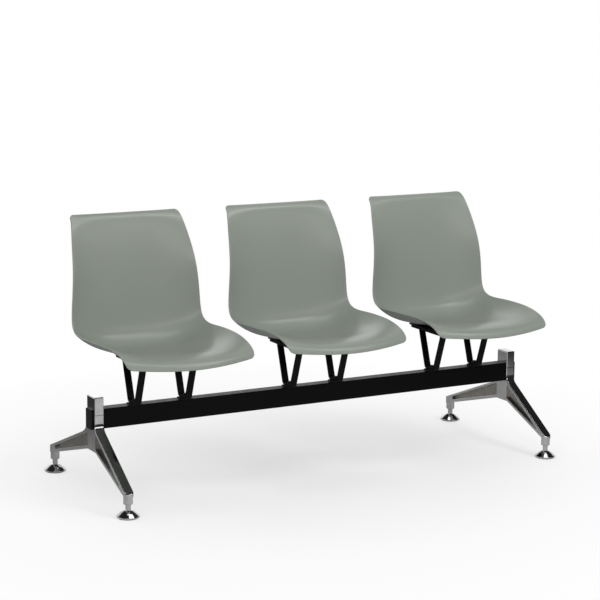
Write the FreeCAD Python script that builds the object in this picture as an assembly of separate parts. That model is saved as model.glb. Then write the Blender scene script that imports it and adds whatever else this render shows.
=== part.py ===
import FreeCAD, Part
import math
import os
from FreeCAD import Vector

# Bench layout, in millimetres: X runs along the beam, -Y is the front, Z is up from the floor
SEAT_COUNT = 3
SEAT_PITCH = 526.0
LEG_OUTBOARD = 209.0
FRONT_REACH = 233.0
REAR_REACH = 322.0

# Beam: rectangular steel tube
BEAM_HEIGHT = 60.0
BEAM_DEPTH = 40.0
BEAM_WALL = 2.5
BEAM_CORNER = 2.5
BEAM_UNDERSIDE = 211.0
BEAM_PAST_LEG = 3.5

# Plugs in the beam's ends
PLUG_FLANGE = 4.0
PLUG_INSET = 6.0
PLUG_WALL = 2.5
PLUG_CLEARANCE = 0.2
PLUG_EDGE = 1.5

# Cast leg: a post that forks round the beam, a hub, and two arms with a socket at each foot
LEG_WIDTH = 30.6
LEG_WEB = 9.0
POST_DEPTH = 55.2
POST_GRIP = 44.0
SADDLE_CLEARANCE = 0.2
HUB_DEPTH = 68.0
HUB_BLEND = 14.0
ARM_END = 14.2
ARM_END_CORNER = 13.0
ARM_EDGE = 3.0
POCKET_RIM = 1.0
POCKET_CORNER = 5.0
POCKET_TIP_ROUNDING = 0.3
FLANGE_TOP = 9.0
FLANGE_BOTTOM = 9.5
SOCKET_RADIUS = 13.8
SOCKET_UNDERSIDE = 40.0
SOCKET_LIP = 1.2
SOCKET_IN_ARM = 8.0

# Front and rear arm: where each line starts on the hub and how high it ends over its socket
FRONT_SHOULDER_LIFT = 1.0
FRONT_FLARE = 32.0
FRONT_HUB_EDGE = 33.5
FRONT_END_TOP = 39.3
FRONT_END_BOTTOM = 22.6
FRONT_POCKET_START = 29.0
FRONT_POCKET_TIP = 33.0
REAR_SHOULDER_LIFT = -7.3
REAR_FLARE = 60.0
REAR_HUB_EDGE = 28.0
REAR_END_TOP = 47.1
REAR_END_BOTTOM = 21.0
REAR_POCKET_START = 26.0
REAR_POCKET_TIP = 34.0

# Clamp cap over the beam, with its bolt and crush sleeve
CAP_OVER_BEAM = 37.6
CAP_EDGE = 3.0
SEAM_EDGE = 1.0
BOLT_RADIUS = 5.0
BOLT_CLEARANCE = 0.3
THREAD_FIT = 0.05
BOLT_HEAD_RADIUS = 8.0
BOLT_HEAD_HEIGHT = 10.0
BOLT_HEAD_CLEARANCE = 0.7
BOLT_HEAD_RECESS = 12.0
BOLT_KEY = 8.0
BOLT_KEY_DEPTH = 5.0
BOLT_IN_CAP = 26.0
BOLT_END_GAP = 1.5
SLEEVE_WALL = 2.5

# Levelling glides
GLIDE_RADIUS = 33.0
GLIDE_RIM = 4.5
GLIDE_RIM_LIFT = 1.5
GLIDE_HEIGHT = 22.0
GLIDE_HUB_RADIUS = 11.0
GLIDE_EDGE = 1.2
GLIDE_DOME = 1.0
GLIDE_DOME_ROUND = 30.0
PAD_THICKNESS = 5.0
PAD_RIM = 2.8
PAD_CLEARANCE = 0.2
STEM_RADIUS = 8.0
STEM_PIN_RADIUS = 6.0
STEM_PIN_LENGTH = 13.0
STEM_IN_SOCKET = 24.0
STEM_CLEARANCE = 0.05
STEM_TRAVEL = 10.0
STEM_TOP_GAP = 1.0

# V supports under each seat
SUPPORT_SPREAD = 166.0
STRAP_WIDTH = 20.0
STRAP_THICKNESS = 8.0
STRAP_FOOT = 53.4
STRAP_LEAN = 0.336
STRAP_BEND = 4.0
STRAP_EDGE = 0.8
BEAM_PAD_LENGTH = 36.0
BEAM_PAD_THICKNESS = 2.0
SUPPORT_HEIGHT = 121.5
RAIL_THICKNESS = 8.5
RAIL_FRONT = 100.0
RAIL_REAR = 116.0
RAIL_CORNER = 4.0
RAIL_EDGE = 0.8

# Seat plate under each shell
PLATE_THICKNESS = 3.5
PLATE_SIDE = 4.0
PLATE_FRONT = 104.0
PLATE_REAR = 128.0
PLATE_CORNER = 12.0
PLATE_EDGE = 0.8

# Bolts and nuts that hold the V supports on the beam
FOOT_BOLT_RADIUS = 4.0
FOOT_BOLT_HEAD_RADIUS = 6.5
FOOT_BOLT_HEAD_HEIGHT = 5.0
FOOT_BOLT_FLANGE_RADIUS = 8.0
FOOT_BOLT_FLANGE = 1.2
FOOT_BOLT_KEY = 5.0
FOOT_BOLT_KEY_DEPTH = 2.5
FOOT_BOLT_CLEARANCE = 0.3
FOOT_NUT_SIDE = 20.0
FOOT_NUT_THICKNESS = 6.5
FOOT_BOLT_PAST_NUT = 2.0

# Screws and inserts that hold the shell on its plate
SHELL_SCREW_X = 58.0
SHELL_SCREW_FRONT = 80.0
SHELL_SCREW_REAR = 104.0
SHELL_SCREW_RADIUS = 3.0
SHELL_SCREW_CLEARANCE = 0.3
SHELL_SCREW_HEAD_RADIUS = 5.5
SHELL_SCREW_HEAD = 3.5
SHELL_SCREW_KEY = 4.0
SHELL_SCREW_KEY_DEPTH = 2.0
INSERT_RADIUS = 4.2
INSERT_LENGTH = 6.0
INSERT_END_GAP = 0.5
BOSS_RADIUS = 8.5
BOSS_ROOT = 2.5

# Seat shell: one moulded sheet, thin against its size
SHELL_WALL = 5.0
SHELL_CORNER = 14.0
SHELL_ROWS = 40
SHELL_COLUMNS = 20

# Sections of the shell's upper face from the front lip to the top edge. Each holds:
# centre line from the beam's middle, centre line above a shell lying flat on the seat plate,
# half width, how far the rim stands forward of the centre line, how far it stands above it,
# and how sharply it turns up: the power of the share of the half width.
SHELL_SECTIONS = [
    (-260.0, 7.7, 202.5, -34.5, 11.3, 2.0),
    (-248.2, 25.2, 206.0, -35.5, 9.3, 2.6),
    (-214.0, 34.2, 208.2, -33.0, 17.2, 2.9),
    (-140.2, 31.6, 212.8, -25.0, 32.0, 3.1),
    (-40.4, 15.6, 220.6, -4.0, 49.6, 3.1),
    (60.6, 4.4, 222.8, 12.7, 59.1, 3.1),
    (137.8, 3.0, 218.5, 31.2, 60.0, 3.2),
    (183.9, 26.7, 215.3, 43.3, 46.6, 3.4),
    (199.7, 83.6, 213.0, 42.8, 18.8, 3.4),
    (204.9, 151.6, 209.3, 44.5, 8.2, 3.4),
    (209.8, 232.3, 202.9, 40.3, 7.0, 3.4),
    (221.4, 326.2, 193.1, 18.3, 0.4, 3.4),
    (235.2, 383.3, 184.3, 2.7, -3.6, 3.5),
    (243.7, 395.4, 182.2, 0.0, -4.8, 3.6),
    (258.8, 400.2, 180.0, 1.4, 1.7, 3.8),
]

# Places worked out from the sizes above
BEAM_Y = (FRONT_REACH - REAR_REACH) / 2
BEAM_TOP = BEAM_UNDERSIDE + BEAM_HEIGHT
POST_TOP = BEAM_UNDERSIDE + POST_GRIP
CAP_TOP = BEAM_TOP + CAP_OVER_BEAM
HUB_UNDERSIDE = BEAM_UNDERSIDE - HUB_DEPTH
POST_HALF = POST_DEPTH / 2
LEG_X = SEAT_PITCH * (SEAT_COUNT - 1) / 2 + LEG_OUTBOARD
BEAM_END = LEG_X + LEG_WIDTH / 2 + BEAM_PAST_LEG
SLEEVE_RADIUS = BOLT_RADIUS + BOLT_CLEARANCE + SLEEVE_WALL
RAIL_UNDERSIDE = BEAM_TOP + SUPPORT_HEIGHT
RAIL_TOP = RAIL_UNDERSIDE + RAIL_THICKNESS
PLATE_TOP = RAIL_TOP + PLATE_THICKNESS
PLATE_HALF = SUPPORT_SPREAD / 2 + STRAP_WIDTH / 2 + PLATE_SIDE
STRAP_BOTTOM = BEAM_TOP + BEAM_PAD_THICKNESS
STRAP_FLOOR = STRAP_BOTTOM + STRAP_THICKNESS
FEET = {"front": -FRONT_REACH, "rear": REAR_REACH}
SIDES = {"left": -1, "right": 1}

# Nearness that counts as the same place when edges are picked
NEAR = 1e-3

# Length of the upright line that finds the shell's underside over each boss
PROBE_LENGTH = 100.0


def side_view(y, z):
    return Vector(0, y, z)


def plan_view(x, y):
    return Vector(x, y, 0)


def turned_view(radius, z):
    return Vector(radius, 0, z)


# Closed outline through corners (first, second, corner radius), each corner rounded by an arc
def rounded_wire(corners, view):
    points = [view(a, b) for a, b, radius in corners]
    starts = []
    arcs = []
    for i, corner in enumerate(points):
        radius = corners[i][2]
        before = points[i - 1].sub(corner).normalize()
        after = points[(i + 1) % len(points)].sub(corner).normalize()
        if radius <= 0:
            starts.append((corner, corner))
            continue
        half = before.getAngle(after) / 2
        reach = radius / math.tan(half)
        middle_line = before.add(after).normalize()
        centre = corner.add(middle_line * (radius / math.sin(half)))
        start = corner.add(before * reach)
        end = corner.add(after * reach)
        arcs.append(Part.Arc(start, centre.sub(middle_line * radius), end).toShape())
        starts.append((start, end))
    lines = []
    for i, pair in enumerate(starts):
        following = starts[(i + 1) % len(starts)][0]
        if pair[1].distanceToPoint(following) > NEAR:
            lines.append(Part.LineSegment(pair[1], following).toShape())
    return Part.Wire(Part.__sortEdges__(lines + arcs))


def side_plate(corners, x_from, x_to):
    face = Part.Face(rounded_wire(corners, side_view))
    face.translate(Vector(x_from, 0, 0))
    return face.extrude(Vector(x_to - x_from, 0, 0))


def plan_plate(corners, z_from, z_to):
    face = Part.Face(rounded_wire(corners, plan_view))
    face.translate(Vector(0, 0, z_from))
    return face.extrude(Vector(0, 0, z_to - z_from))


def turned(corners):
    face = Part.Face(rounded_wire(corners, turned_view))
    return face.revolve(Vector(0, 0, 0), Vector(0, 0, 1), 360)


def rectangle(half_x, y_from, y_to, corner):
    return [
        (-half_x, y_from, corner),
        (half_x, y_from, corner),
        (half_x, y_to, corner),
        (-half_x, y_to, corner),
    ]


def block(half_x, y_from, y_to, z_from, z_to):
    return Part.makeBox(2 * half_x, y_to - y_from, z_to - z_from, Vector(-half_x, y_from, z_from))


def round_bar(radius, z_from, z_to, x=0.0, y=0.0):
    return Part.makeCylinder(radius, z_to - z_from, Vector(x, y, z_from))


def hexagon_bar(across_flats, z_from, z_to):
    corners = []
    for i in range(6):
        angle = math.radians(60 * i + 30)
        reach = across_flats / math.sqrt(3)
        corners.append((reach * math.cos(angle), reach * math.sin(angle), 0))
    return plan_plate(corners, z_from, z_to)


def placed(shape, x=0.0, y=0.0, z=0.0):
    copy = shape.copy()
    copy.translate(Vector(x, y, z))
    return copy


def mirrored(shape):
    return shape.mirror(Vector(0, 0, 0), Vector(1, 0, 0))


def group(shapes):
    return Part.makeCompound(shapes)


def seat_place(seat):
    return (seat - (SEAT_COUNT - 1) / 2) * SEAT_PITCH


def support_places():
    places = []
    for seat in range(SEAT_COUNT):
        for side in SIDES.values():
            places.append(seat_place(seat) + side * SUPPORT_SPREAD / 2)
    return places


# Beam: tube with clamp bolt holes near its ends and one bolt hole under each V support
def beam_section(inset, corner):
    half = BEAM_DEPTH / 2 - inset
    return [
        (-half, BEAM_UNDERSIDE + inset, corner),
        (half, BEAM_UNDERSIDE + inset, corner),
        (half, BEAM_TOP - inset, corner),
        (-half, BEAM_TOP - inset, corner),
    ]


def beam():
    tube = side_plate(beam_section(0, BEAM_CORNER), -BEAM_END, BEAM_END)
    tube = tube.cut(side_plate(beam_section(BEAM_WALL, 0), -BEAM_END, BEAM_END))
    for side in SIDES.values():
        hole = round_bar(BOLT_RADIUS + BOLT_CLEARANCE, BEAM_UNDERSIDE, BEAM_TOP, side * LEG_X)
        tube = tube.cut(hole)
    for x in support_places():
        hole = round_bar(FOOT_BOLT_RADIUS + FOOT_BOLT_CLEARANCE, BEAM_TOP - BEAM_WALL, BEAM_TOP, x)
        tube = tube.cut(hole)
    return tube


# Plug for the beam's right end: a flange outside, an open box inside
def beam_end_plug():
    flange = side_plate(beam_section(0, BEAM_CORNER), BEAM_END, BEAM_END + PLUG_FLANGE)
    rim = [e for e in flange.Edges if e.BoundBox.XMin > BEAM_END + PLUG_FLANGE - NEAR]
    flange = flange.makeFillet(PLUG_EDGE, rim)
    inset = BEAM_WALL + PLUG_CLEARANCE
    spigot = side_plate(beam_section(inset, 0), BEAM_END - PLUG_INSET, BEAM_END)
    hollow = side_plate(beam_section(inset + PLUG_WALL, 0), BEAM_END - PLUG_INSET, BEAM_END)
    return flange.fuse(spigot.cut(hollow)).removeSplitter()


# One arm of the leg, with distances measured outwards from the beam's middle
class Arm:
    def __init__(self, sign, reach, shoulder_lift, flare, hub_edge, end_top, end_bottom, pocket):
        self.sign = sign
        self.reach = reach
        self.shoulder = BEAM_UNDERSIDE + shoulder_lift
        self.flare = flare
        self.hub_edge = hub_edge
        self.end_top = SOCKET_UNDERSIDE + end_top
        self.end_bottom = SOCKET_UNDERSIDE + end_bottom
        self.pocket_start, self.pocket_tip = pocket
        self.top_fall = (self.shoulder - self.end_top) / (reach - POST_HALF)
        self.bottom_fall = (HUB_UNDERSIDE - self.end_bottom) / (reach - hub_edge)

    def top(self, out):
        return self.shoulder - self.top_fall * (out - POST_HALF)

    def bottom(self, out):
        return HUB_UNDERSIDE - self.bottom_fall * (out - self.hub_edge)

    def end(self):
        return self.sign * (self.reach + ARM_END)

    def outline(self):
        end = self.reach + ARM_END
        corners = [
            (POST_HALF, POST_TOP, 0),
            (POST_HALF, self.shoulder, self.flare),
            (end, self.top(end), 0),
            (end, self.bottom(end), 0),
            (self.hub_edge, HUB_UNDERSIDE, HUB_BLEND),
        ]
        return [(self.sign * out, z, radius) for out, z, radius in corners]

    def pocket_outline(self):
        top_drop = FLANGE_TOP * math.hypot(1, self.top_fall)
        bottom_rise = FLANGE_BOTTOM * math.hypot(1, self.bottom_fall)
        start = self.pocket_start
        tip = self.reach - self.pocket_tip
        tip_top = self.top(tip) - top_drop
        tip_bottom = self.bottom(tip) + bottom_rise
        tip_corner = (tip_top - tip_bottom) * POCKET_TIP_ROUNDING
        corners = [
            (start, self.bottom(start) + bottom_rise, POCKET_CORNER),
            (start, self.top(start) - top_drop, POCKET_CORNER),
            (tip, tip_top, tip_corner),
            (tip, tip_bottom, tip_corner),
        ]
        return [(self.sign * out, z, radius) for out, z, radius in corners]


FRONT_ARM = Arm(
    -1, FRONT_REACH, FRONT_SHOULDER_LIFT, FRONT_FLARE, FRONT_HUB_EDGE,
    FRONT_END_TOP, FRONT_END_BOTTOM, (FRONT_POCKET_START, FRONT_POCKET_TIP))
REAR_ARM = Arm(
    1, REAR_REACH, REAR_SHOULDER_LIFT, REAR_FLARE, REAR_HUB_EDGE,
    REAR_END_TOP, REAR_END_BOTTOM, (REAR_POCKET_START, REAR_POCKET_TIP))


# Upright edges of a shape at a distance y from the beam's middle
def upright_edges(shape, y):
    chosen = []
    for edge in shape.Edges:
        box = edge.BoundBox
        if box.XLength < NEAR and box.YLength < NEAR and abs(box.YMin - y) < NEAR:
            chosen.append(edge)
    return chosen


def side_faces(shape, half_width):
    chosen = []
    for face in shape.Faces:
        box = face.BoundBox
        if box.XLength < NEAR and abs(abs(box.XMin) - half_width) < NEAR:
            chosen.append(face)
    return chosen


# Edges around a shape's two side faces, without those at its top
def outer_edges(shape, half_width, top):
    edges = [e for face in side_faces(shape, half_width) for e in face.OuterWire.Edges]
    return [e for e in edges if e.BoundBox.ZMin < top - NEAR]


# Edges around a flat plate's two large faces
def level_edges(shape):
    return [e for e in shape.Edges if e.BoundBox.ZLength < NEAR]


# Level edges at the height where the cap meets the leg, cut back so that the seam shows
def open_seam(shape):
    seam = [e for e in level_edges(shape) if abs(e.BoundBox.ZMin - POST_TOP) < NEAR]
    return shape.makeChamfer(SEAM_EDGE, seam)


# Edges around the pockets in the leg's two side faces
def pocket_edges(shape):
    chosen = []
    for face in side_faces(shape, LEG_WIDTH / 2):
        for wire in face.Wires:
            if not wire.isSame(face.OuterWire):
                chosen.extend(wire.Edges)
    return chosen


def leg_body():
    outline = REAR_ARM.outline() + list(reversed(FRONT_ARM.outline()))
    body = side_plate(outline, -LEG_WIDTH / 2, LEG_WIDTH / 2)
    ends = upright_edges(body, REAR_ARM.end()) + upright_edges(body, FRONT_ARM.end())
    body = body.makeFillet(ARM_END_CORNER, ends)
    return open_seam(body.makeFillet(ARM_EDGE, outer_edges(body, LEG_WIDTH / 2, POST_TOP)))


# Pocket in both sides of an arm, leaving a web in the middle
def cut_pocket(leg, arm):
    leg = leg.cut(side_plate(arm.pocket_outline(), LEG_WEB / 2, LEG_WIDTH))
    return leg.cut(side_plate(arm.pocket_outline(), -LEG_WIDTH, -LEG_WEB / 2))


# Foot socket, its bore running from the underside to the ceiling above the stem
def add_socket(leg, arm):
    y = arm.sign * arm.reach
    socket = round_bar(SOCKET_RADIUS, SOCKET_UNDERSIDE, arm.end_bottom + SOCKET_IN_ARM)
    lower_rim = [e for e in socket.Edges if e.BoundBox.ZMax < SOCKET_UNDERSIDE + NEAR]
    leg = leg.fuse(placed(socket.makeChamfer(SOCKET_LIP, lower_rim), y=y))
    ceiling = SOCKET_UNDERSIDE + STEM_IN_SOCKET + STEM_TRAVEL + STEM_TOP_GAP
    return leg.cut(round_bar(STEM_RADIUS + STEM_CLEARANCE, SOCKET_UNDERSIDE, ceiling, y=y))


def leg_casting():
    leg = leg_body()
    for arm in (FRONT_ARM, REAR_ARM):
        leg = cut_pocket(leg, arm)
    leg = leg.makeFillet(POCKET_RIM, pocket_edges(leg))
    saddle = BEAM_DEPTH / 2 + SADDLE_CLEARANCE
    leg = leg.cut(block(LEG_WIDTH, -saddle, saddle, BEAM_UNDERSIDE, POST_TOP))
    leg = leg.cut(round_bar(BOLT_RADIUS + BOLT_CLEARANCE, HUB_UNDERSIDE, BEAM_UNDERSIDE))
    head_seat = HUB_UNDERSIDE + BOLT_HEAD_RECESS + BOLT_HEAD_HEIGHT
    leg = leg.cut(round_bar(BOLT_HEAD_RADIUS + BOLT_HEAD_CLEARANCE, HUB_UNDERSIDE, head_seat))
    for arm in (FRONT_ARM, REAR_ARM):
        leg = add_socket(leg, arm)
    return leg


def clamp_cap():
    cap = block(LEG_WIDTH / 2, -POST_HALF, POST_HALF, POST_TOP, CAP_TOP)
    cap = cap.makeFillet(CAP_EDGE, [e for e in cap.Edges if e.BoundBox.ZMax > POST_TOP + NEAR])
    cap = open_seam(cap)
    saddle = BEAM_DEPTH / 2 + SADDLE_CLEARANCE
    cap = cap.cut(block(LEG_WIDTH, -saddle, saddle, POST_TOP, BEAM_TOP))
    thread_top = BEAM_TOP + BOLT_IN_CAP + BOLT_END_GAP
    return cap.cut(round_bar(BOLT_RADIUS + THREAD_FIT, BEAM_TOP, thread_top))


def clamp_bolt():
    head_bottom = HUB_UNDERSIDE + BOLT_HEAD_RECESS
    head_top = head_bottom + BOLT_HEAD_HEIGHT
    head = round_bar(BOLT_HEAD_RADIUS, head_bottom, head_top)
    shank = round_bar(BOLT_RADIUS, head_top, BEAM_TOP + BOLT_IN_CAP)
    return head.fuse(shank).cut(hexagon_bar(BOLT_KEY, head_bottom, head_bottom + BOLT_KEY_DEPTH))


def crush_sleeve():
    low = BEAM_UNDERSIDE + BEAM_WALL
    high = BEAM_TOP - BEAM_WALL
    tube = round_bar(SLEEVE_RADIUS, low, high)
    return tube.cut(round_bar(BOLT_RADIUS + BOLT_CLEARANCE, low, high))


# Glide base: a domed disc with a recess for its pad and a hub for the stem's pin
def glide_base():
    rim_top = GLIDE_RIM_LIFT + GLIDE_RIM
    pad_hole = GLIDE_RADIUS - PAD_RIM
    pin_hole = STEM_PIN_RADIUS + STEM_CLEARANCE
    pin_floor = GLIDE_HEIGHT - STEM_PIN_LENGTH - STEM_CLEARANCE
    dome_radius = (GLIDE_RADIUS + GLIDE_HUB_RADIUS) / 2
    dome_height = (rim_top + GLIDE_HEIGHT) / 2 + GLIDE_DOME
    return turned([
        (0, PAD_THICKNESS, 0),
        (pad_hole, PAD_THICKNESS, 0),
        (pad_hole, GLIDE_RIM_LIFT, 0),
        (GLIDE_RADIUS, GLIDE_RIM_LIFT, GLIDE_EDGE),
        (GLIDE_RADIUS, rim_top, GLIDE_EDGE),
        (dome_radius, dome_height, GLIDE_DOME_ROUND),
        (GLIDE_HUB_RADIUS, GLIDE_HEIGHT, GLIDE_EDGE),
        (pin_hole, GLIDE_HEIGHT, 0),
        (pin_hole, pin_floor, 0),
        (0, pin_floor, 0),
    ])


def glide_pad():
    return round_bar(GLIDE_RADIUS - PAD_RIM - PAD_CLEARANCE, 0, PAD_THICKNESS)


def glide_stem():
    pin = round_bar(STEM_PIN_RADIUS, GLIDE_HEIGHT - STEM_PIN_LENGTH, GLIDE_HEIGHT)
    return pin.fuse(round_bar(STEM_RADIUS, GLIDE_HEIGHT, SOCKET_UNDERSIDE + STEM_IN_SOCKET))


# V support: one flat bar bent up at both ends of a short foot
def v_strap():
    slant = math.hypot(1, STRAP_LEAN)
    foot = STRAP_FOOT / 2
    outer_top = foot + STRAP_LEAN * (RAIL_UNDERSIDE - STRAP_BOTTOM)
    inner_top = outer_top - STRAP_THICKNESS * slant
    crotch = foot + STRAP_LEAN * STRAP_THICKNESS - STRAP_THICKNESS * slant
    outline = [
        (foot, STRAP_BOTTOM, STRAP_BEND + STRAP_THICKNESS),
        (outer_top, RAIL_UNDERSIDE, 0),
        (inner_top, RAIL_UNDERSIDE, 0),
        (crotch, STRAP_FLOOR, STRAP_BEND),
        (-crotch, STRAP_FLOOR, STRAP_BEND),
        (-inner_top, RAIL_UNDERSIDE, 0),
        (-outer_top, RAIL_UNDERSIDE, 0),
        (-foot, STRAP_BOTTOM, STRAP_BEND + STRAP_THICKNESS),
    ]
    strap = side_plate(outline, -STRAP_WIDTH / 2, STRAP_WIDTH / 2)
    strap = strap.makeFillet(STRAP_EDGE, outer_edges(strap, STRAP_WIDTH / 2, RAIL_UNDERSIDE))
    return strap.cut(round_bar(FOOT_BOLT_RADIUS + FOOT_BOLT_CLEARANCE, STRAP_BOTTOM, STRAP_FLOOR))


def beam_pad():
    corners = rectangle(BEAM_PAD_LENGTH / 2, -BEAM_DEPTH / 2, BEAM_DEPTH / 2, BEAM_CORNER)
    pad = plan_plate(corners, BEAM_TOP, STRAP_BOTTOM)
    return pad.cut(round_bar(FOOT_BOLT_RADIUS + FOOT_BOLT_CLEARANCE, BEAM_TOP, STRAP_BOTTOM))


def foot_bolt():
    flange_top = STRAP_FLOOR + FOOT_BOLT_FLANGE
    head_top = STRAP_FLOOR + FOOT_BOLT_HEAD_HEIGHT
    tip = BEAM_TOP - BEAM_WALL - FOOT_NUT_THICKNESS - FOOT_BOLT_PAST_NUT
    bolt = round_bar(FOOT_BOLT_FLANGE_RADIUS, STRAP_FLOOR, flange_top)
    bolt = bolt.fuse(round_bar(FOOT_BOLT_HEAD_RADIUS, flange_top, head_top))
    bolt = bolt.fuse(round_bar(FOOT_BOLT_RADIUS, tip, STRAP_FLOOR))
    return bolt.cut(hexagon_bar(FOOT_BOLT_KEY, head_top - FOOT_BOLT_KEY_DEPTH, head_top))


def foot_nut():
    top = BEAM_TOP - BEAM_WALL
    half = FOOT_NUT_SIDE / 2
    nut = block(half, -half, half, top - FOOT_NUT_THICKNESS, top)
    return nut.cut(round_bar(FOOT_BOLT_RADIUS + THREAD_FIT, top - FOOT_NUT_THICKNESS, top))


def rail():
    corners = rectangle(STRAP_WIDTH / 2, -RAIL_FRONT, RAIL_REAR, RAIL_CORNER)
    bar = plan_plate(corners, RAIL_UNDERSIDE, RAIL_TOP)
    return bar.makeFillet(RAIL_EDGE, level_edges(bar))


def shell_screw_places():
    places = []
    for side in SIDES.values():
        for y in (-SHELL_SCREW_FRONT, SHELL_SCREW_REAR):
            places.append((side * SHELL_SCREW_X, y))
    return places


def seat_plate():
    plate = plan_plate(rectangle(PLATE_HALF, -PLATE_FRONT, PLATE_REAR, PLATE_CORNER), RAIL_TOP, PLATE_TOP)
    plate = plate.makeFillet(PLATE_EDGE, level_edges(plate))
    for x, y in shell_screw_places():
        plate = plate.cut(round_bar(SHELL_SCREW_RADIUS + SHELL_SCREW_CLEARANCE, RAIL_TOP, PLATE_TOP, x, y))
    return plate


def shell_screw():
    head_bottom = RAIL_TOP - SHELL_SCREW_HEAD
    tip = PLATE_TOP + INSERT_LENGTH - INSERT_END_GAP
    screw = round_bar(SHELL_SCREW_HEAD_RADIUS, head_bottom, RAIL_TOP)
    screw = screw.fuse(round_bar(SHELL_SCREW_RADIUS, RAIL_TOP, tip))
    return screw.cut(hexagon_bar(SHELL_SCREW_KEY, head_bottom, head_bottom + SHELL_SCREW_KEY_DEPTH))


def shell_insert():
    high = PLATE_TOP + INSERT_LENGTH
    return round_bar(INSERT_RADIUS, PLATE_TOP, high).cut(
        round_bar(SHELL_SCREW_RADIUS + THREAD_FIT, PLATE_TOP, high))


# Smooth curve through values at increasing places, straight at both ends
def smooth_through(places, values):
    count = len(places)
    gaps = [places[i + 1] - places[i] for i in range(count - 1)]
    slopes = [(values[i + 1] - values[i]) / gaps[i] for i in range(count - 1)]
    ratio = [0.0] * count
    load = [0.0] * count
    for i in range(1, count - 1):
        pivot = 2 * (gaps[i - 1] + gaps[i]) - gaps[i - 1] * ratio[i - 1]
        ratio[i] = gaps[i] / pivot
        load[i] = (6 * (slopes[i] - slopes[i - 1]) - gaps[i - 1] * load[i - 1]) / pivot
    bend = [0.0] * count
    for i in range(count - 2, 0, -1):
        bend[i] = load[i] - ratio[i] * bend[i + 1]

    def value_at(place):
        i = 0
        while i < count - 2 and place > places[i + 1]:
            i += 1
        after = (place - places[i]) / gaps[i]
        before = 1 - after
        straight = before * values[i] + after * values[i + 1]
        curve = (before ** 3 - before) * bend[i] + (after ** 3 - after) * bend[i + 1]
        return straight + curve * gaps[i] ** 2 / 6

    return value_at


# Upper face of the shell as a function of the place along its middle and of x
class ShellFace:
    def __init__(self):
        places = [0.0]
        for a, b in zip(SHELL_SECTIONS, SHELL_SECTIONS[1:]):
            places.append(places[-1] + math.sqrt(math.hypot(b[0] - a[0], b[1] - a[1])))
        columns = zip(*SHELL_SECTIONS)
        self.length = places[-1]
        self.curves = [smooth_through(places, column) for column in columns]

    def half_width(self, place):
        return self.curves[2](place)

    def point(self, place, x):
        y, height, half, forward, rise, curl = [curve(place) for curve in self.curves]
        share = (abs(x) / half) ** curl
        return Vector(x, y - forward * share, PLATE_TOP + SHELL_WALL + height + rise * share)

    def outward(self, place, x):
        step = self.length * 1e-4
        low = max(0.0, place - step)
        high = min(self.length, place + step)
        along = self.point(high, x).sub(self.point(low, x))
        across = self.point(place, x + 0.05).sub(self.point(place, x - 0.05))
        return along.cross(across).normalize()


# How much a corner of the given radius takes off the width at a distance from the end
def corner_trim(distance, radius):
    if distance >= radius:
        return 0.0
    return radius - math.sqrt(radius ** 2 - (radius - distance) ** 2)


def shell_grids():
    face = ShellFace()
    places = []
    for i in range(SHELL_ROWS + 1):
        places.append(face.length * (1 - math.cos(math.pi * i / SHELL_ROWS)) / 2)
    middle = [face.point(place, 0.0) for place in places]
    travelled = [0.0]
    for a, b in zip(middle, middle[1:]):
        travelled.append(travelled[-1] + a.distanceToPoint(b))
    upper = []
    lower = []
    for place, distance in zip(places, travelled):
        trim = corner_trim(min(distance, travelled[-1] - distance), SHELL_CORNER)
        half = face.half_width(place) - trim
        upper_row = []
        lower_row = []
        for j in range(SHELL_COLUMNS + 1):
            x = half * (2 * j / SHELL_COLUMNS - 1)
            point = face.point(place, x)
            upper_row.append(point)
            lower_row.append(point + face.outward(place, x) * SHELL_WALL)
        upper.append(upper_row)
        lower.append(lower_row)
    return upper, lower


def sheet_through(grid):
    surface = Part.BSplineSurface()
    surface.interpolate(grid)
    return surface


def shell_sheet():
    upper, lower = [sheet_through(grid) for grid in shell_grids()]
    faces = [upper.toShape(), lower.toShape()]
    u0, u1, v0, v1 = upper.bounds()
    a0, a1, b0, b1 = lower.bounds()
    pairs = [
        (upper.uIso(u0), lower.uIso(a0)),
        (upper.uIso(u1), lower.uIso(a1)),
        (upper.vIso(v0), lower.vIso(b0)),
        (upper.vIso(v1), lower.vIso(b1)),
    ]
    for a, b in pairs:
        faces.append(Part.makeRuledSurface(a.toShape(), b.toShape()))
    skin = Part.makeShell(faces)
    skin.sewShape()
    solid = Part.makeSolid(Part.Shell(skin.Faces))
    if solid.Volume < 0:
        solid.reverse()
    return solid


def seat_shell():
    shell = shell_sheet()
    for x, y in shell_screw_places():
        probe = Part.LineSegment(Vector(x, y, PLATE_TOP), Vector(x, y, PLATE_TOP + PROBE_LENGTH)).toShape()
        underside = min(v.Z for v in probe.common(shell).Vertexes)
        boss = round_bar(BOSS_RADIUS, PLATE_TOP, underside + BOSS_ROOT, x, y)
        shell = shell.fuse(boss)
        hole_top = PLATE_TOP + INSERT_LENGTH + INSERT_END_GAP
        shell = shell.cut(round_bar(INSERT_RADIUS, PLATE_TOP, hole_top, x, y))
    return shell


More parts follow.
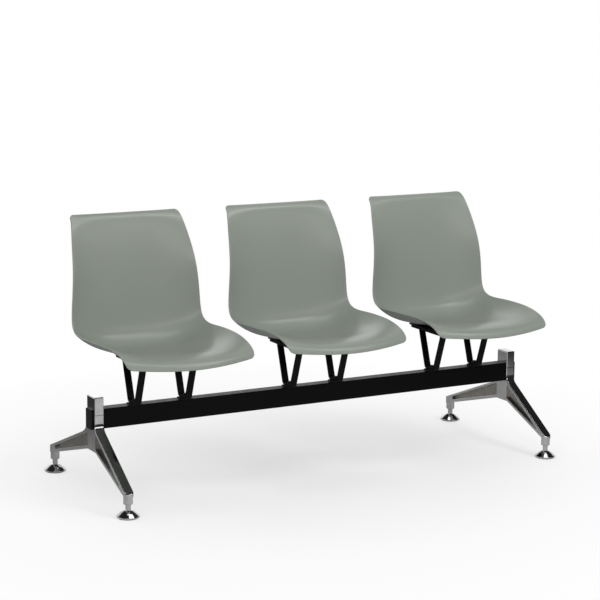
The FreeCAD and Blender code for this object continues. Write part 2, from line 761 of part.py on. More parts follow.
# Every piece of the bench, by its node's name
def seat_pieces(number, x, shell):
    both = [side * SUPPORT_SPREAD / 2 for side in SIDES.values()]
    name = "seat_%d_" % number
    screws = shell_screw_places()
    pieces = {name + "shell": placed(shell, x)}
    for side, sign in SIDES.items():
        support_x = x + sign * SUPPORT_SPREAD / 2
        pieces[name + "v_strap_" + side] = placed(v_strap(), support_x)
        pieces[name + "rail_" + side] = placed(rail(), support_x)
    pieces[name + "plate"] = placed(seat_plate(), x)
    pieces[name + "beam_pads"] = group([placed(beam_pad(), x + dx) for dx in both])
    pieces[name + "foot_bolts"] = group([placed(foot_bolt(), x + dx) for dx in both])
    pieces[name + "foot_nuts"] = group([placed(foot_nut(), x + dx) for dx in both])
    pieces[name + "shell_screws"] = group([placed(shell_screw(), x + dx, y) for dx, y in screws])
    pieces[name + "shell_inserts"] = group([placed(shell_insert(), x + dx, y) for dx, y in screws])
    return pieces


def leg_pieces(side, sign):
    plug = beam_end_plug() if sign > 0 else mirrored(beam_end_plug())
    pieces = {
        side + "_leg": placed(leg_casting(), sign * LEG_X),
        side + "_clamp_cap": placed(clamp_cap(), sign * LEG_X),
        side + "_clamp_bolt": placed(clamp_bolt(), sign * LEG_X),
        side + "_crush_sleeve": placed(crush_sleeve(), sign * LEG_X),
        side + "_beam_plug": plug,
    }
    for foot, y in FEET.items():
        name = side + "_" + foot + "_glide_"
        pieces[name + "base"] = placed(glide_base(), sign * LEG_X, y)
        pieces[name + "pad"] = placed(glide_pad(), sign * LEG_X, y)
        pieces[name + "stem"] = placed(glide_stem(), sign * LEG_X, y)
    return pieces


def all_pieces():
    pieces = {"beam": beam()}
    for side, sign in SIDES.items():
        pieces.update(leg_pieces(side, sign))
    shell = seat_shell()
    for seat in range(SEAT_COUNT):
        pieces.update(seat_pieces(seat + 1, seat_place(seat), shell))
    return pieces


os.makedirs("parts", exist_ok=True)
for node, shape in all_pieces().items():
    placed(shape, y=BEAM_Y).exportStep("parts/" + node + ".step")
    print(node, len(shape.Solids), shape.isValid(), round(shape.Volume))
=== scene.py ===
import math

import bpy
from mathutils import Matrix, Vector


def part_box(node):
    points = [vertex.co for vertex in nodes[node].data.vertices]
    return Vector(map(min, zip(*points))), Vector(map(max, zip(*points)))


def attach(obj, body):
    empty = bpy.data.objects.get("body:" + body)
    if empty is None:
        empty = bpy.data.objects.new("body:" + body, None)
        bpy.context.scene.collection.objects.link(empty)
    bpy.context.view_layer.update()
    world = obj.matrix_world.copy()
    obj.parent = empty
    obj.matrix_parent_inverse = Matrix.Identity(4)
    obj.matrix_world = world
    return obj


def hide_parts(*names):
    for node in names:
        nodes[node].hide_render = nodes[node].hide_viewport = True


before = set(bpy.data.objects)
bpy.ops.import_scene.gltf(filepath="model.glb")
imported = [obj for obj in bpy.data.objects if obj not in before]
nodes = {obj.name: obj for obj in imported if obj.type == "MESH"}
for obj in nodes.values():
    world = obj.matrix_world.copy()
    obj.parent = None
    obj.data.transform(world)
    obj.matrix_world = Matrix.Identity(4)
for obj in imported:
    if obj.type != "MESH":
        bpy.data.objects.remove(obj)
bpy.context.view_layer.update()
MM = 0.001

# Where the pieces stand, read from the frame
SEATS = (1, 2, 3)
SIDES = ("left", "right")
FEET = ("front", "rear")
beam_low, beam_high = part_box("beam")
BEAM_MIDDLE = (beam_low.y + beam_high.y) / 2

# Seat shell: sections of its upper face in millimetres, from the front lip to the top edge. Each holds:
# centre line from the beam's middle, centre line above a shell lying flat on the seat plate,
# half width, how far the rim stands forward of the centre line, how far it stands above it,
# and how sharply it turns up: the power of the share of the half width.
SHELL_SECTIONS = [
    (-260.0, 7.7, 202.5, -34.5, 11.3, 2.0),
    (-248.2, 25.2, 206.0, -35.5, 9.3, 2.6),
    (-214.0, 34.2, 208.2, -33.0, 17.2, 2.9),
    (-140.2, 31.6, 212.8, -25.0, 32.0, 3.1),
    (-40.4, 15.6, 220.6, -4.0, 49.6, 3.1),
    (60.6, 4.4, 222.8, 12.7, 59.1, 3.1),
    (137.8, 3.0, 218.5, 31.2, 60.0, 3.2),
    (183.9, 26.7, 215.3, 43.3, 46.6, 3.4),
    (199.7, 83.6, 213.0, 42.8, 18.8, 3.4),
    (204.9, 151.6, 209.3, 44.5, 8.2, 3.4),
    (209.8, 232.3, 202.9, 40.3, 7.0, 3.4),
    (221.4, 326.2, 193.1, 18.3, 0.4, 3.4),
    (235.2, 383.3, 184.3, 2.7, -3.6, 3.5),
    (243.7, 395.4, 182.2, 0.0, -4.8, 3.6),
    (258.8, 400.2, 180.0, 1.4, 1.7, 3.8),
]
SHELL_WALL = 5.0
SHELL_CORNER = 14.0
SHELL_RIM = 2.2
SHELL_ROWS = 132
SHELL_COLUMNS = 56
CORNER_STEPS = 8
RIM_STEPS = 4
SAMPLES_ALONG = 2400

# How far inside the rounded rim the rings between it and the inner grid run
RIM_LEADS = (7.0, 3.0, 0.0)

# Steps that give the face its slope: along, as a share of the way through the sections, and across
SLOPE_ALONG = 1e-4
SLOPE_ACROSS = 0.05


# Smooth curve through values at increasing places, straight at both ends
def smooth_through(places, values):
    count = len(places)
    gaps = [places[i + 1] - places[i] for i in range(count - 1)]
    slopes = [(values[i + 1] - values[i]) / gaps[i] for i in range(count - 1)]
    ratio = [0.0] * count
    load = [0.0] * count
    for i in range(1, count - 1):
        pivot = 2 * (gaps[i - 1] + gaps[i]) - gaps[i - 1] * ratio[i - 1]
        ratio[i] = gaps[i] / pivot
        load[i] = (6 * (slopes[i] - slopes[i - 1]) - gaps[i - 1] * load[i - 1]) / pivot
    bend = [0.0] * count
    for i in range(count - 2, 0, -1):
        bend[i] = load[i] - ratio[i] * bend[i + 1]

    def value_at(place):
        i = 0
        while i < count - 2 and place > places[i + 1]:
            i += 1
        after = (place - places[i]) / gaps[i]
        before = 1 - after
        straight = before * values[i] + after * values[i + 1]
        curve = (before ** 3 - before) * bend[i] + (after ** 3 - after) * bend[i + 1]
        return straight + curve * gaps[i] ** 2 / 6

    return value_at


# Upper face of the shell, in millimetres from the beam's middle and the seat plate's top
class ShellFace:
    def __init__(self):
        places = [0.0]
        for a, b in zip(SHELL_SECTIONS, SHELL_SECTIONS[1:]):
            places.append(places[-1] + math.sqrt(math.hypot(b[0] - a[0], b[1] - a[1])))
        self.reach = places[-1]
        self.curves = [smooth_through(places, column) for column in zip(*SHELL_SECTIONS)]
        self.place_at, self.length = self.measure_along()

    # The place along the sections at each distance along the centre line
    def measure_along(self):
        places = [self.reach * i / SAMPLES_ALONG for i in range(SAMPLES_ALONG + 1)]
        middle = [self.point(place, 0.0) for place in places]
        distances = [0.0]
        for a, b in zip(middle, middle[1:]):
            distances.append(distances[-1] + (b - a).length)

        def place_at(distance):
            low, high = 0, SAMPLES_ALONG
            while high - low > 1:
                centre = (low + high) // 2
                low, high = (centre, high) if distances[centre] <= distance else (low, centre)
            share = (distance - distances[low]) / (distances[high] - distances[low])
            return places[low] + share * (places[high] - places[low])

        return place_at, distances[-1]

    def point(self, place, x):
        y, height, half, forward, rise, curl = [curve(place) for curve in self.curves]
        share = (abs(x) / half) ** curl
        return Vector((x, y - forward * share, SHELL_WALL + height + rise * share))

    def half_width(self, place):
        return self.curves[2](place)

    # Direction from the face through the wall to the underside
    def outward(self, place, x):
        step = self.reach * SLOPE_ALONG
        low = max(0.0, place - step)
        high = min(self.reach, place + step)
        along = self.point(high, x) - self.point(low, x)
        across = self.point(place, x + SLOPE_ACROSS) - self.point(place, x - SLOPE_ACROSS)
        return along.cross(across).normalized()

    # A point under the face, by its distance along the centre line, its share of the way across to a line
    # near the side's edge, its depth and how far that line is from the edge
    def sunk(self, distance, x_share, depth, edge=SHELL_CORNER):
        place = self.place_at(distance)
        x = x_share * (self.half_width(place) - edge)
        return self.point(place, x) + self.outward(place, x) * depth


# Rings from the edge of the inner grid to the rim and round it: (distance outwards, depth below the face)
def rim_rings():
    rounding = SHELL_CORNER - SHELL_RIM
    turns = [math.pi / 2 * i / RIM_STEPS for i in range(1, RIM_STEPS + 1)]
    upper = [(rounding - lead, 0.0) for lead in RIM_LEADS]
    upper += [(rounding + SHELL_RIM * math.sin(a), SHELL_RIM * (1 - math.cos(a))) for a in turns]
    lower = [(out, SHELL_WALL - depth) for out, depth in reversed(upper)]
    return upper + lower


# The way round the inner grid: along the front, up the right side, back along the top, down the left side.
# Each stop holds its row and column, the end that the way outwards turns to (-1 front, 1 top) and the angle
# by which it turns from straight out to the side.
def way_round():
    square = math.pi / 2
    turns = [square * k / CORNER_STEPS for k in range(CORNER_STEPS + 1)]
    stops = [(0, j, -1, square) for j in range(1, SHELL_COLUMNS)]
    stops += [(0, SHELL_COLUMNS, -1, square - a) for a in turns]
    stops += [(i, SHELL_COLUMNS, 1, 0.0) for i in range(1, SHELL_ROWS)]
    stops += [(SHELL_ROWS, SHELL_COLUMNS, 1, a) for a in turns]
    stops += [(SHELL_ROWS, j, 1, square) for j in range(SHELL_COLUMNS - 1, 0, -1)]
    stops += [(SHELL_ROWS, 0, 1, square - a) for a in turns]
    stops += [(i, 0, 1, 0.0) for i in range(SHELL_ROWS - 1, 0, -1)]
    stops += [(0, 0, -1, a) for a in turns]
    return stops


# Mesh of a shell in millimetres: an upper and a lower grid, and rings from one to the other round the rim
def shell_mesh(face):
    rows = [SHELL_CORNER + (face.length - 2 * SHELL_CORNER) * i / SHELL_ROWS for i in range(SHELL_ROWS + 1)]
    shares = [2 * j / SHELL_COLUMNS - 1 for j in range(SHELL_COLUMNS + 1)]
    points = [face.sunk(distance, share, depth)
              for depth in (0.0, SHELL_WALL) for distance in rows for share in shares]
    faces = []
    upper = 0
    lower = len(points) // 2

    def at(start, i, j):
        return start + i * (SHELL_COLUMNS + 1) + j

    for i in range(SHELL_ROWS):
        for j in range(SHELL_COLUMNS):
            quad = [(i, j), (i, j + 1), (i + 1, j + 1), (i + 1, j)]
            faces.append([at(upper, a, b) for a, b in quad])
            faces.append([at(lower, a, b) for a, b in reversed(quad)])

    stops = way_round()
    rings = [[at(upper, i, j) for i, j, end, angle in stops]]
    for out, depth in rim_rings():
        start = len(points)
        for i, j, end, angle in stops:
            distance = rows[i] + end * out * math.sin(angle)
            points.append(face.sunk(distance, shares[j], depth, SHELL_CORNER - out * math.cos(angle)))
        rings.append(list(range(start, len(points))))
    rings.append([at(lower, i, j) for i, j, end, angle in stops])

    # At a corner of the grid several stops share one point, which leaves triangles
    for inner, outer in zip(rings, rings[1:]):
        for k in range(len(stops)):
            following = (k + 1) % len(stops)
            corners = [inner[k], outer[k], outer[following], inner[following]]
            faces.append(list(dict.fromkeys(corners)))
    return points, faces


def show(name, mesh):
    piece = bpy.data.objects.new(name, mesh)
    bpy.context.scene.collection.objects.link(piece)
    return piece


def mesh_piece(name, points, faces):
    mesh = bpy.data.meshes.new(name)
    mesh.from_pydata(points, [], faces)
    mesh.validate()
    mesh.polygons.foreach_set("use_smooth", [True] * len(mesh.polygons))
    return show(name, mesh)


# Points in millimetres, brought to metres round a place
def placed(points, middle=Vector((0.0, 0.0, 0.0))):
    return [middle + p * MM for p in points]


# The point over the beam's middle on a seat plate's upper or lower face
def plate_middle(seat, upper=True):
    low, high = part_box(f"seat_{seat}_plate")
    return Vector(((low.x + high.x) / 2, BEAM_MIDDLE, high.z if upper else low.z))


def seat_shells(face, finish):
    points, faces = shell_mesh(face)
    for seat in SEATS:
        shell = mesh_piece(f"seat_{seat}_moulded_shell", placed(points, plate_middle(seat)), faces)
        shell.data.materials.append(finish)
        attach(shell, "root")
        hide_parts(f"seat_{seat}_shell")


# Small helpers for node trees
def add(tree, kind, **settings):
    made = tree.nodes.new(kind)
    for name, value in settings.items():
        setattr(made, name, value)
    return made


def set_inputs(made, **values):
    for name, value in values.items():
        made.inputs[name.replace("_", " ")].default_value = value
    return made


def link(tree, source, target):
    tree.links.new(source, target)


# Leads another node's output to a socket, or gives the socket a plain value
def feed(tree, source, socket):
    if isinstance(source, bpy.types.NodeSocket):
        link(tree, source, socket)
    else:
        socket.default_value = source


def calculate(tree, operation, *sources, **settings):
    made = add(tree, "ShaderNodeMath", operation=operation, **settings)
    for source, socket in zip(sources, made.inputs):
        feed(tree, source, socket)
    return made.outputs["Value"]


# A value brought from between two limits to between two ends, and held there
def ramp(tree, source, limits, ends=(0.0, 1.0), **settings):
    made = add(tree, "ShaderNodeMapRange", **settings)
    for name, value in zip(("Value", "From Min", "From Max", "To Min", "To Max"), (source, *limits, *ends)):
        feed(tree, value, made.inputs[name])
    return made.outputs["Result"]


def mixed(tree, kind, factor, first, second):
    made = add(tree, "ShaderNodeMix", data_type=kind)
    for name, value in (("Factor", factor), ("A", first), ("B", second)):
        feed(tree, value, made.inputs[name])
    return made.outputs["Result"]


def mixed_shaders(tree, factor, first, second):
    made = add(tree, "ShaderNodeMixShader")
    for source, socket in zip((factor, first, second), made.inputs):
        link(tree, source, socket)
    return made.outputs["Shader"]


# Noise over the object's own coordinates
def noise(tree, scale, detail, roughness):
    made = set_inputs(add(tree, "ShaderNodeTexNoise"), Detail=detail, Roughness=roughness)
    link(tree, add(tree, "ShaderNodeTexCoord").outputs["Object"], made.inputs["Vector"])
    feed(tree, scale, made.inputs["Scale"])
    return made.outputs["Fac"]


def new_material(name, **values):
    material = bpy.data.materials.new(name)
    material.use_nodes = True
    shader = material.node_tree.nodes["Principled BSDF"]
    set_inputs(shader, **values)
    return material, material.node_tree, shader


# A shader group with plain values as inputs and result: its tree, its inputs and its result's socket
def shader_group(name, result, **inputs):
    tree = bpy.data.node_groups.new(name, "ShaderNodeTree")
    for label, value in inputs.items():
        socket = tree.interface.new_socket(name=label.replace("_", " "), in_out="INPUT",
                                           socket_type="NodeSocketFloat")
        socket.default_value = value
    tree.interface.new_socket(name=result, in_out="OUTPUT", socket_type="NodeSocketFloat")
    return tree, add(tree, "NodeGroupInput").outputs, add(tree, "NodeGroupOutput").inputs[result]


# The part of the noise's range that the wandering value spreads over
NOISE_SPREAD = (0.2, 0.8)


# A value that wanders softly between two limits over the surface
def wander_group():
    tree, given, result = shader_group("wander", "Value", Scale=20.0, Low=0.0, High=1.0)
    value = ramp(tree, noise(tree, given["Scale"], detail=2.0, roughness=0.5), NOISE_SPREAD,
                 (given["Low"], given["High"]), interpolation_type="SMOOTHSTEP")
    link(tree, value, result)
    return tree


# Height of a fine moulded or painted grain, on top of a slower wave
def grain_group():
    tree, given, result = shader_group("grain", "Height", Grain_Scale=1500.0, Wave_Scale=40.0, Wave_Share=0.3)
    fine = noise(tree, given["Grain Scale"], detail=2.0, roughness=0.5)
    slow = noise(tree, given["Wave Scale"], detail=1.0, roughness=0.4)
    link(tree, mixed(tree, "FLOAT", given["Wave Share"], fine, slow), result)
    return tree


# How far the rounded normal leans from the flat one, as a cosine, from no wear to full wear
EDGE_LEAN = (0.995, 0.85)
# The noise that breaks the wear up
RUBBED_SCALE = 180.0
RUBBED_NOISE = (0.4, 0.65)


# Mask of edges where the finish has been rubbed, broken up by noise
def edge_wear_group():
    tree, given, result = shader_group("edge_wear", "Mask", Width=0.001, Amount=0.5)
    rounded = add(tree, "ShaderNodeBevel", samples=4)
    lean = add(tree, "ShaderNodeVectorMath", operation="DOT_PRODUCT")
    link(tree, given["Width"], rounded.inputs["Radius"])
    link(tree, rounded.outputs["Normal"], lean.inputs[0])
    link(tree, add(tree, "ShaderNodeNewGeometry").outputs["Normal"], lean.inputs[1])
    edge = ramp(tree, lean.outputs["Value"], EDGE_LEAN)
    rubbed = ramp(tree, noise(tree, RUBBED_SCALE, detail=4.0, roughness=0.7), RUBBED_NOISE)
    worn = calculate(tree, "MULTIPLY", edge, rubbed)
    link(tree, calculate(tree, "MULTIPLY", worn, given["Amount"]), result)
    return tree


def use_group(tree, group, **values):
    return set_inputs(add(tree, "ShaderNodeGroup", node_tree=group), **values)


def wandering(tree, groups, **values):
    return use_group(tree, groups["wander"], **values).outputs["Value"]


def edge_wear(tree, groups, **values):
    return use_group(tree, groups["edge_wear"], **values).outputs["Mask"]


def add_grain(tree, shader, groups, grain, depth):
    relief = use_group(tree, groups["grain"], **grain)
    bump = set_inputs(add(tree, "ShaderNodeBump"), Distance=depth)
    link(tree, relief.outputs["Height"], bump.inputs["Height"])
    link(tree, bump.outputs["Normal"], shader.inputs["Normal"])


# Adds wandering roughness and a bump from the grain to a material
def dress(tree, shader, groups, roughness, grain, depth):
    link(tree, wandering(tree, groups, **roughness), shader.inputs["Roughness"])
    add_grain(tree, shader, groups, grain, depth)


# A colour between two, by a wandering value or an edge mask
def toned(tree, factor, first, second):
    return mixed(tree, "RGBA", factor, (*first, 1.0), (*second, 1.0))


def two_tones(tree, shader, factor, first, second):
    link(tree, toned(tree, factor, first, second), shader.inputs["Base Color"])


# Each material: its roughness, its grain with the bump's depth in metres, and its two tones
def moulded_plastic(groups):
    material, tree, shader = new_material("moulded_shell_plastic", Specular_IOR_Level=0.5)
    dress(tree, shader, groups, dict(Scale=9.0, Low=0.28, High=0.32),
          dict(Grain_Scale=900.0, Wave_Scale=60.0, Wave_Share=0.3), depth=0.000012)
    tone = wandering(tree, groups, Scale=5.0, Low=0.0, High=1.0)
    two_tones(tree, shader, tone, (0.244, 0.270, 0.236), (0.252, 0.279, 0.244))
    return material


def painted_steel(groups):
    material, tree, shader = new_material("black_powder_coat", Specular_IOR_Level=0.1)
    dress(tree, shader, groups, dict(Scale=30.0, Low=0.30, High=0.40),
          dict(Grain_Scale=700.0, Wave_Scale=120.0, Wave_Share=0.35), depth=0.00012)
    worn = edge_wear(tree, groups, Width=0.0008, Amount=0.6)
    two_tones(tree, shader, worn, (0.0030, 0.0030, 0.0031), (0.02, 0.02, 0.021))
    return material


CHROME_ROUGHNESS = dict(Scale=25.0, Low=0.05, High=0.11)
CHROME_GRAIN = dict(Grain_Scale=260.0, Wave_Scale=35.0, Wave_Share=0.7)
CHROME_DEPTH = 0.00006


def chrome_tone(tree, groups):
    tone = wandering(tree, groups, Scale=40.0, Low=0.0, High=1.0)
    return toned(tree, tone, (0.60, 0.60, 0.60), (0.68, 0.68, 0.675))


def polished_chrome(groups):
    material, tree, shader = new_material("polished_chrome", Metallic=1.0)
    dress(tree, shader, groups, CHROME_ROUGHNESS, CHROME_GRAIN, CHROME_DEPTH)
    link(tree, chrome_tone(tree, groups), shader.inputs["Base Color"])
    return material


# Distances from the leg's middle plane: faces take the pockets' darker, mottled tone up to the first and the
# chrome tone from the second on
POCKET_FLOOR = 0.0052
POCKET_WALL = 0.0062
# How squarely a face has to look sideways to count as a pocket's floor
SQUARE_TO_SIDE = (0.85, 0.95)


# The leg: chrome outside, with the floors of its pockets in a darker, rougher, mottled brownish tone
def leg_casting_chrome(groups):
    material, tree, shader = new_material("leg_chrome", Metallic=1.0)
    add_grain(tree, shader, groups, CHROME_GRAIN, CHROME_DEPTH)
    leg_low, leg_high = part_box("right_leg")
    place = add(tree, "ShaderNodeSeparateXYZ")
    facing = add(tree, "ShaderNodeSeparateXYZ")
    link(tree, add(tree, "ShaderNodeTexCoord").outputs["Object"], place.inputs["Vector"])
    link(tree, add(tree, "ShaderNodeNewGeometry").outputs["True Normal"], facing.inputs["Vector"])
    from_middle = calculate(tree, "ABSOLUTE", place.outputs["X"])
    off_leg = calculate(tree, "SUBTRACT", from_middle, (leg_low.x + leg_high.x) / 2)
    deep = ramp(tree, calculate(tree, "ABSOLUTE", off_leg), (POCKET_WALL, POCKET_FLOOR))
    flat = ramp(tree, calculate(tree, "ABSOLUTE", facing.outputs["X"]), SQUARE_TO_SIDE)
    pocket_floor = calculate(tree, "MULTIPLY", deep, flat)
    # Darker, mottled brownish tone of the pocket floors
    pocket_dark_mottle = toned(tree, wandering(tree, groups, Scale=120.0, Low=0.0, High=1.0),
                    (0.28, 0.262, 0.238), (0.45, 0.425, 0.388))
    tone = mixed(tree, "RGBA", pocket_floor, chrome_tone(tree, groups), pocket_dark_mottle)
    smooth = wandering(tree, groups, **CHROME_ROUGHNESS)
    grainy = wandering(tree, groups, Scale=200.0, Low=0.28, High=0.42)
    link(tree, tone, shader.inputs["Base Color"])
    link(tree, mixed(tree, "FLOAT", pocket_floor, smooth, grainy), shader.inputs["Roughness"])
    return material


def zinc_steel(groups):
    material, tree, shader = new_material("zinc_plated_steel", Metallic=1.0)
    dress(tree, shader, groups, dict(Scale=90.0, Low=0.28, High=0.45),
          dict(Grain_Scale=900.0, Wave_Scale=200.0, Wave_Share=0.3), depth=0.00005)
    tone = wandering(tree, groups, Scale=150.0, Low=0.0, High=1.0)
    two_tones(tree, shader, tone, (0.50, 0.50, 0.48), (0.62, 0.62, 0.61))
    return material


def black_bolt(groups):
    material, tree, shader = new_material("black_oxide_bolt", Metallic=0.6)
    dress(tree, shader, groups, dict(Scale=120.0, Low=0.30, High=0.42),
          dict(Grain_Scale=1200.0, Wave_Scale=200.0, Wave_Share=0.3), depth=0.00004)
    worn = edge_wear(tree, groups, Width=0.0006, Amount=0.9)
    two_tones(tree, shader, worn, (0.020, 0.020, 0.021), (0.22, 0.22, 0.22))
    return material


def brass(groups):
    material, tree, shader = new_material("brass", Metallic=1.0)
    dress(tree, shader, groups, dict(Scale=120.0, Low=0.22, High=0.35),
          dict(Grain_Scale=1200.0, Wave_Scale=250.0, Wave_Share=0.3), depth=0.00004)
    tone = wandering(tree, groups, Scale=200.0, Low=0.0, High=1.0)
    two_tones(tree, shader, tone, (0.60, 0.42, 0.16), (0.68, 0.50, 0.22))
    return material


def black_plastic(groups):
    material, tree, shader = new_material("black_plastic", Specular_IOR_Level=0.2)
    dress(tree, shader, groups, dict(Scale=60.0, Low=0.42, High=0.55),
          dict(Grain_Scale=1500.0, Wave_Scale=150.0, Wave_Share=0.2), depth=0.00010)
    worn = edge_wear(tree, groups, Width=0.0007, Amount=0.4)
    two_tones(tree, shader, worn, (0.010, 0.010, 0.0105), (0.05, 0.05, 0.05))
    return material


def rubber(groups):
    material, tree, shader = new_material("pad_rubber", Specular_IOR_Level=0.3)
    dress(tree, shader, groups, dict(Scale=80.0, Low=0.70, High=0.88),
          dict(Grain_Scale=800.0, Wave_Scale=120.0, Wave_Share=0.3), depth=0.00015)
    tone = wandering(tree, groups, Scale=70.0, Low=0.0, High=1.0)
    two_tones(tree, shader, tone, (0.016, 0.016, 0.016), (0.028, 0.027, 0.026))
    return material


# Finish of every CAD node, by the end of its name
def paint_nodes(finishes):
    by_ending = {
        "_leg": "leg", "_clamp_cap": "chrome", "_glide_base": "chrome", "_glide_stem": "chrome",
        "beam": "paint", "_v_strap_left": "paint", "_v_strap_right": "paint",
        "_rail_left": "paint", "_rail_right": "paint", "_plate": "paint",
        "_beam_plug": "plastic", "_beam_pads": "plastic", "_glide_pad": "rubber",
        "_clamp_bolt": "zinc", "_crush_sleeve": "zinc", "_foot_nuts": "zinc", "_shell_screws": "zinc",
        "_foot_bolts": "bolt", "_shell_inserts": "brass", "_shell": "shell",
    }
    for name, node in nodes.items():
        endings = [ending for ending in by_ending if name.endswith(ending)]
        finish = finishes[by_ending[max(endings, key=len)]]
        node.data.materials.clear()
        node.data.materials.append(finish)


# Camera as the photograph was taken: place, direction, roll and lens
CAMERA_PLACE = Vector((-2.8904, -5.1290, 1.6184))
CAMERA_AZIMUTH = math.radians(29.20)
CAMERA_DIP = math.radians(10.49)
CAMERA_ROLL = math.radians(0.657)
CAMERA_LENS = 114.97


def make_camera():
    ahead = Vector((math.sin(CAMERA_AZIMUTH) * math.cos(CAMERA_DIP),
                    math.cos(CAMERA_AZIMUTH) * math.cos(CAMERA_DIP), -math.sin(CAMERA_DIP)))
    right = Vector((math.cos(CAMERA_AZIMUTH), -math.sin(CAMERA_AZIMUTH), 0.0))
    up = right.cross(ahead)
    turned_right = math.cos(CAMERA_ROLL) * right + math.sin(CAMERA_ROLL) * up
    turned_up = math.cos(CAMERA_ROLL) * up - math.sin(CAMERA_ROLL) * right
    data = bpy.data.cameras.new("camera")
    data.lens = CAMERA_LENS
    data.clip_end = 100.0
    camera = bpy.data.objects.new("camera", data)
    axes = Matrix((turned_right, turned_up, -ahead)).transposed()
    camera.matrix_world = Matrix.Translation(CAMERA_PLACE) @ axes.to_4x4()
    bpy.context.scene.collection.objects.link(camera)
    bpy.context.scene.camera = camera


def grey(value):
    return (value, value, value, 1.0)


# Pale floor, on which a pool lies round the bench. Its tones are those that the camera sees, those that light
# the bench from near and from far, and those that reflections show in the pool and beyond it. Near the bench
# the floor is painted dark in the light it throws back onto the bench (painted shade). In reflections the
# pool is a painted pool of light, with dark floor beyond it.
FLOOR_REACH = 12.0
POOL_CENTRE_Y = -0.40
POOL_HALF_X = 1.35
POOL_HALF_Y = 1.60
PAPER_SEEN = 1.00
# Painted shade: the floor round the bench is dark in the light it throws back onto the bench
PAPER_NEAR_PAINTED_SHADE = 0.12
PAPER_FAR = 0.70
# Painted pool of light: in reflections the floor is lit round the bench and dark beyond it
MIRRORED_PAINTED_LIT_POOL = 0.65
MIRRORED_PAINTED_DARK_BEYOND = 0.05

# Distances from the pool's middle in its half sizes: over the first the pool ends, and over the second the
# floor turns to plain white for the camera, from one share of white to the other
POOL_EDGE = (0.50, 1.25)
WHITE_EDGE = (0.25, 1.25)
WHITE_SHARE = (0.30, 1.0)


def make_floor():
    corners = [(-1, -1), (1, -1), (1, 1), (-1, 1)]
    points = [(x * FLOOR_REACH, y * FLOOR_REACH, 0.0) for x, y in corners]
    floor = mesh_piece("studio_floor", points, [(0, 1, 2, 3)])
    material, tree, shader = new_material("pale_floor", Roughness=1.0, Specular_IOR_Level=0.0)
    pool = add(tree, "ShaderNodeMapping")
    pool.inputs["Location"].default_value = (0.0, -POOL_CENTRE_Y / POOL_HALF_Y, 0.0)
    pool.inputs["Scale"].default_value = (1 / POOL_HALF_X, 1 / POOL_HALF_Y, 1.0)
    distance = add(tree, "ShaderNodeVectorMath", operation="LENGTH")
    link(tree, add(tree, "ShaderNodeTexCoord").outputs["Object"], pool.inputs["Vector"])
    link(tree, pool.outputs["Vector"], distance.inputs[0])
    seen = add(tree, "ShaderNodeLightPath").outputs
    off_pool = ramp(tree, distance.outputs["Value"], POOL_EDGE)
    # Painted shade near the bench, pale floor beyond it, in the light that the floor throws back onto the
    # bench
    bounce_with_painted_shade = mixed(tree, "RGBA", off_pool, grey(PAPER_NEAR_PAINTED_SHADE), grey(PAPER_FAR))
    paper = mixed(tree, "RGBA", seen["Is Camera Ray"], bounce_with_painted_shade, grey(PAPER_SEEN))
    # Painted reflection of a lit pool round the bench, with dark floor beyond it
    mirrored = mixed(tree, "RGBA", off_pool, grey(MIRRORED_PAINTED_LIT_POOL), grey(MIRRORED_PAINTED_DARK_BEYOND))
    tone = mixed(tree, "RGBA", seen["Is Glossy Ray"], paper, mirrored)
    link(tree, tone, shader.inputs["Base Color"])
    white = set_inputs(add(tree, "ShaderNodeEmission"), Strength=1.0)
    fade = ramp(tree, distance.outputs["Value"], WHITE_EDGE, WHITE_SHARE)
    amount = calculate(tree, "MULTIPLY", fade, seen["Is Camera Ray"])
    surface = mixed_shaders(tree, amount, shader.outputs["BSDF"], white.outputs["Emission"])
    link(tree, surface, tree.nodes["Material Output"].inputs["Surface"])
    floor.data.materials.append(material)


# Soft light on the bench from three sides of the studio, as strengths at each side's middle
SOFT_LEFT = 0.58
SOFT_FRONT = 1.36
SOFT_BACK = 1.00

# What reflections show: a white backdrop in an otherwise dark room, with the parts of a direction to the
# back and upwards over which the backdrop starts and ends
BACKDROP_MIRRORED = 1.0
ROOM_MIRRORED = 0.02
BACKDROP_START = (-0.25, 0.25)
BACKDROP_TOP = (0.32, 0.58)


# The light from one side, where part is a direction's part along an axis and sign is the side's end of it
def one_side(tree, part, sign, strength):
    side = calculate(tree, "MULTIPLY", part, sign, use_clamp=True)
    return calculate(tree, "MULTIPLY", side, strength)


def background(tree, colour, strength):
    made = add(tree, "ShaderNodeBackground")
    feed(tree, colour, made.inputs["Color"])
    feed(tree, strength, made.inputs["Strength"])
    return made.outputs["Background"]


# White for the camera, soft light for the bench, and the mirrored room for reflections
def make_world():
    world = bpy.data.worlds.new("studio")
    world.use_nodes = True
    tree = world.node_tree
    tree.nodes.clear()
    split = add(tree, "ShaderNodeSeparateXYZ")
    link(tree, add(tree, "ShaderNodeTexCoord").outputs["Generated"], split.inputs["Vector"])
    x, y, z = split.outputs
    seen = add(tree, "ShaderNodeLightPath").outputs
    ends = calculate(tree, "ADD", one_side(tree, y, -1.0, SOFT_FRONT), one_side(tree, y, 1.0, SOFT_BACK))
    around = calculate(tree, "ADD", ends, one_side(tree, x, -1.0, SOFT_LEFT))
    below_top = ramp(tree, z, BACKDROP_TOP, (1.0, 0.0))
    backdrop = calculate(tree, "MULTIPLY", below_top, ramp(tree, y, BACKDROP_START))
    room = mixed(tree, "RGBA", backdrop, grey(ROOM_MIRRORED), grey(BACKDROP_MIRRORED))
    unseen = mixed_shaders(tree, seen["Is Glossy Ray"], background(tree, grey(1.0), around),
                           background(tree, room, 1.0))
    surface = mixed_shaders(tree, seen["Is Camera Ray"], unseen, background(tree, grey(1.0), 1.0))
    link(tree, surface, add(tree, "ShaderNodeOutputWorld").inputs["Surface"])
    bpy.context.scene.world = world


# The point that every lamp looks at
LIT_MIDDLE = Vector((0.0, 0.0, 0.5))


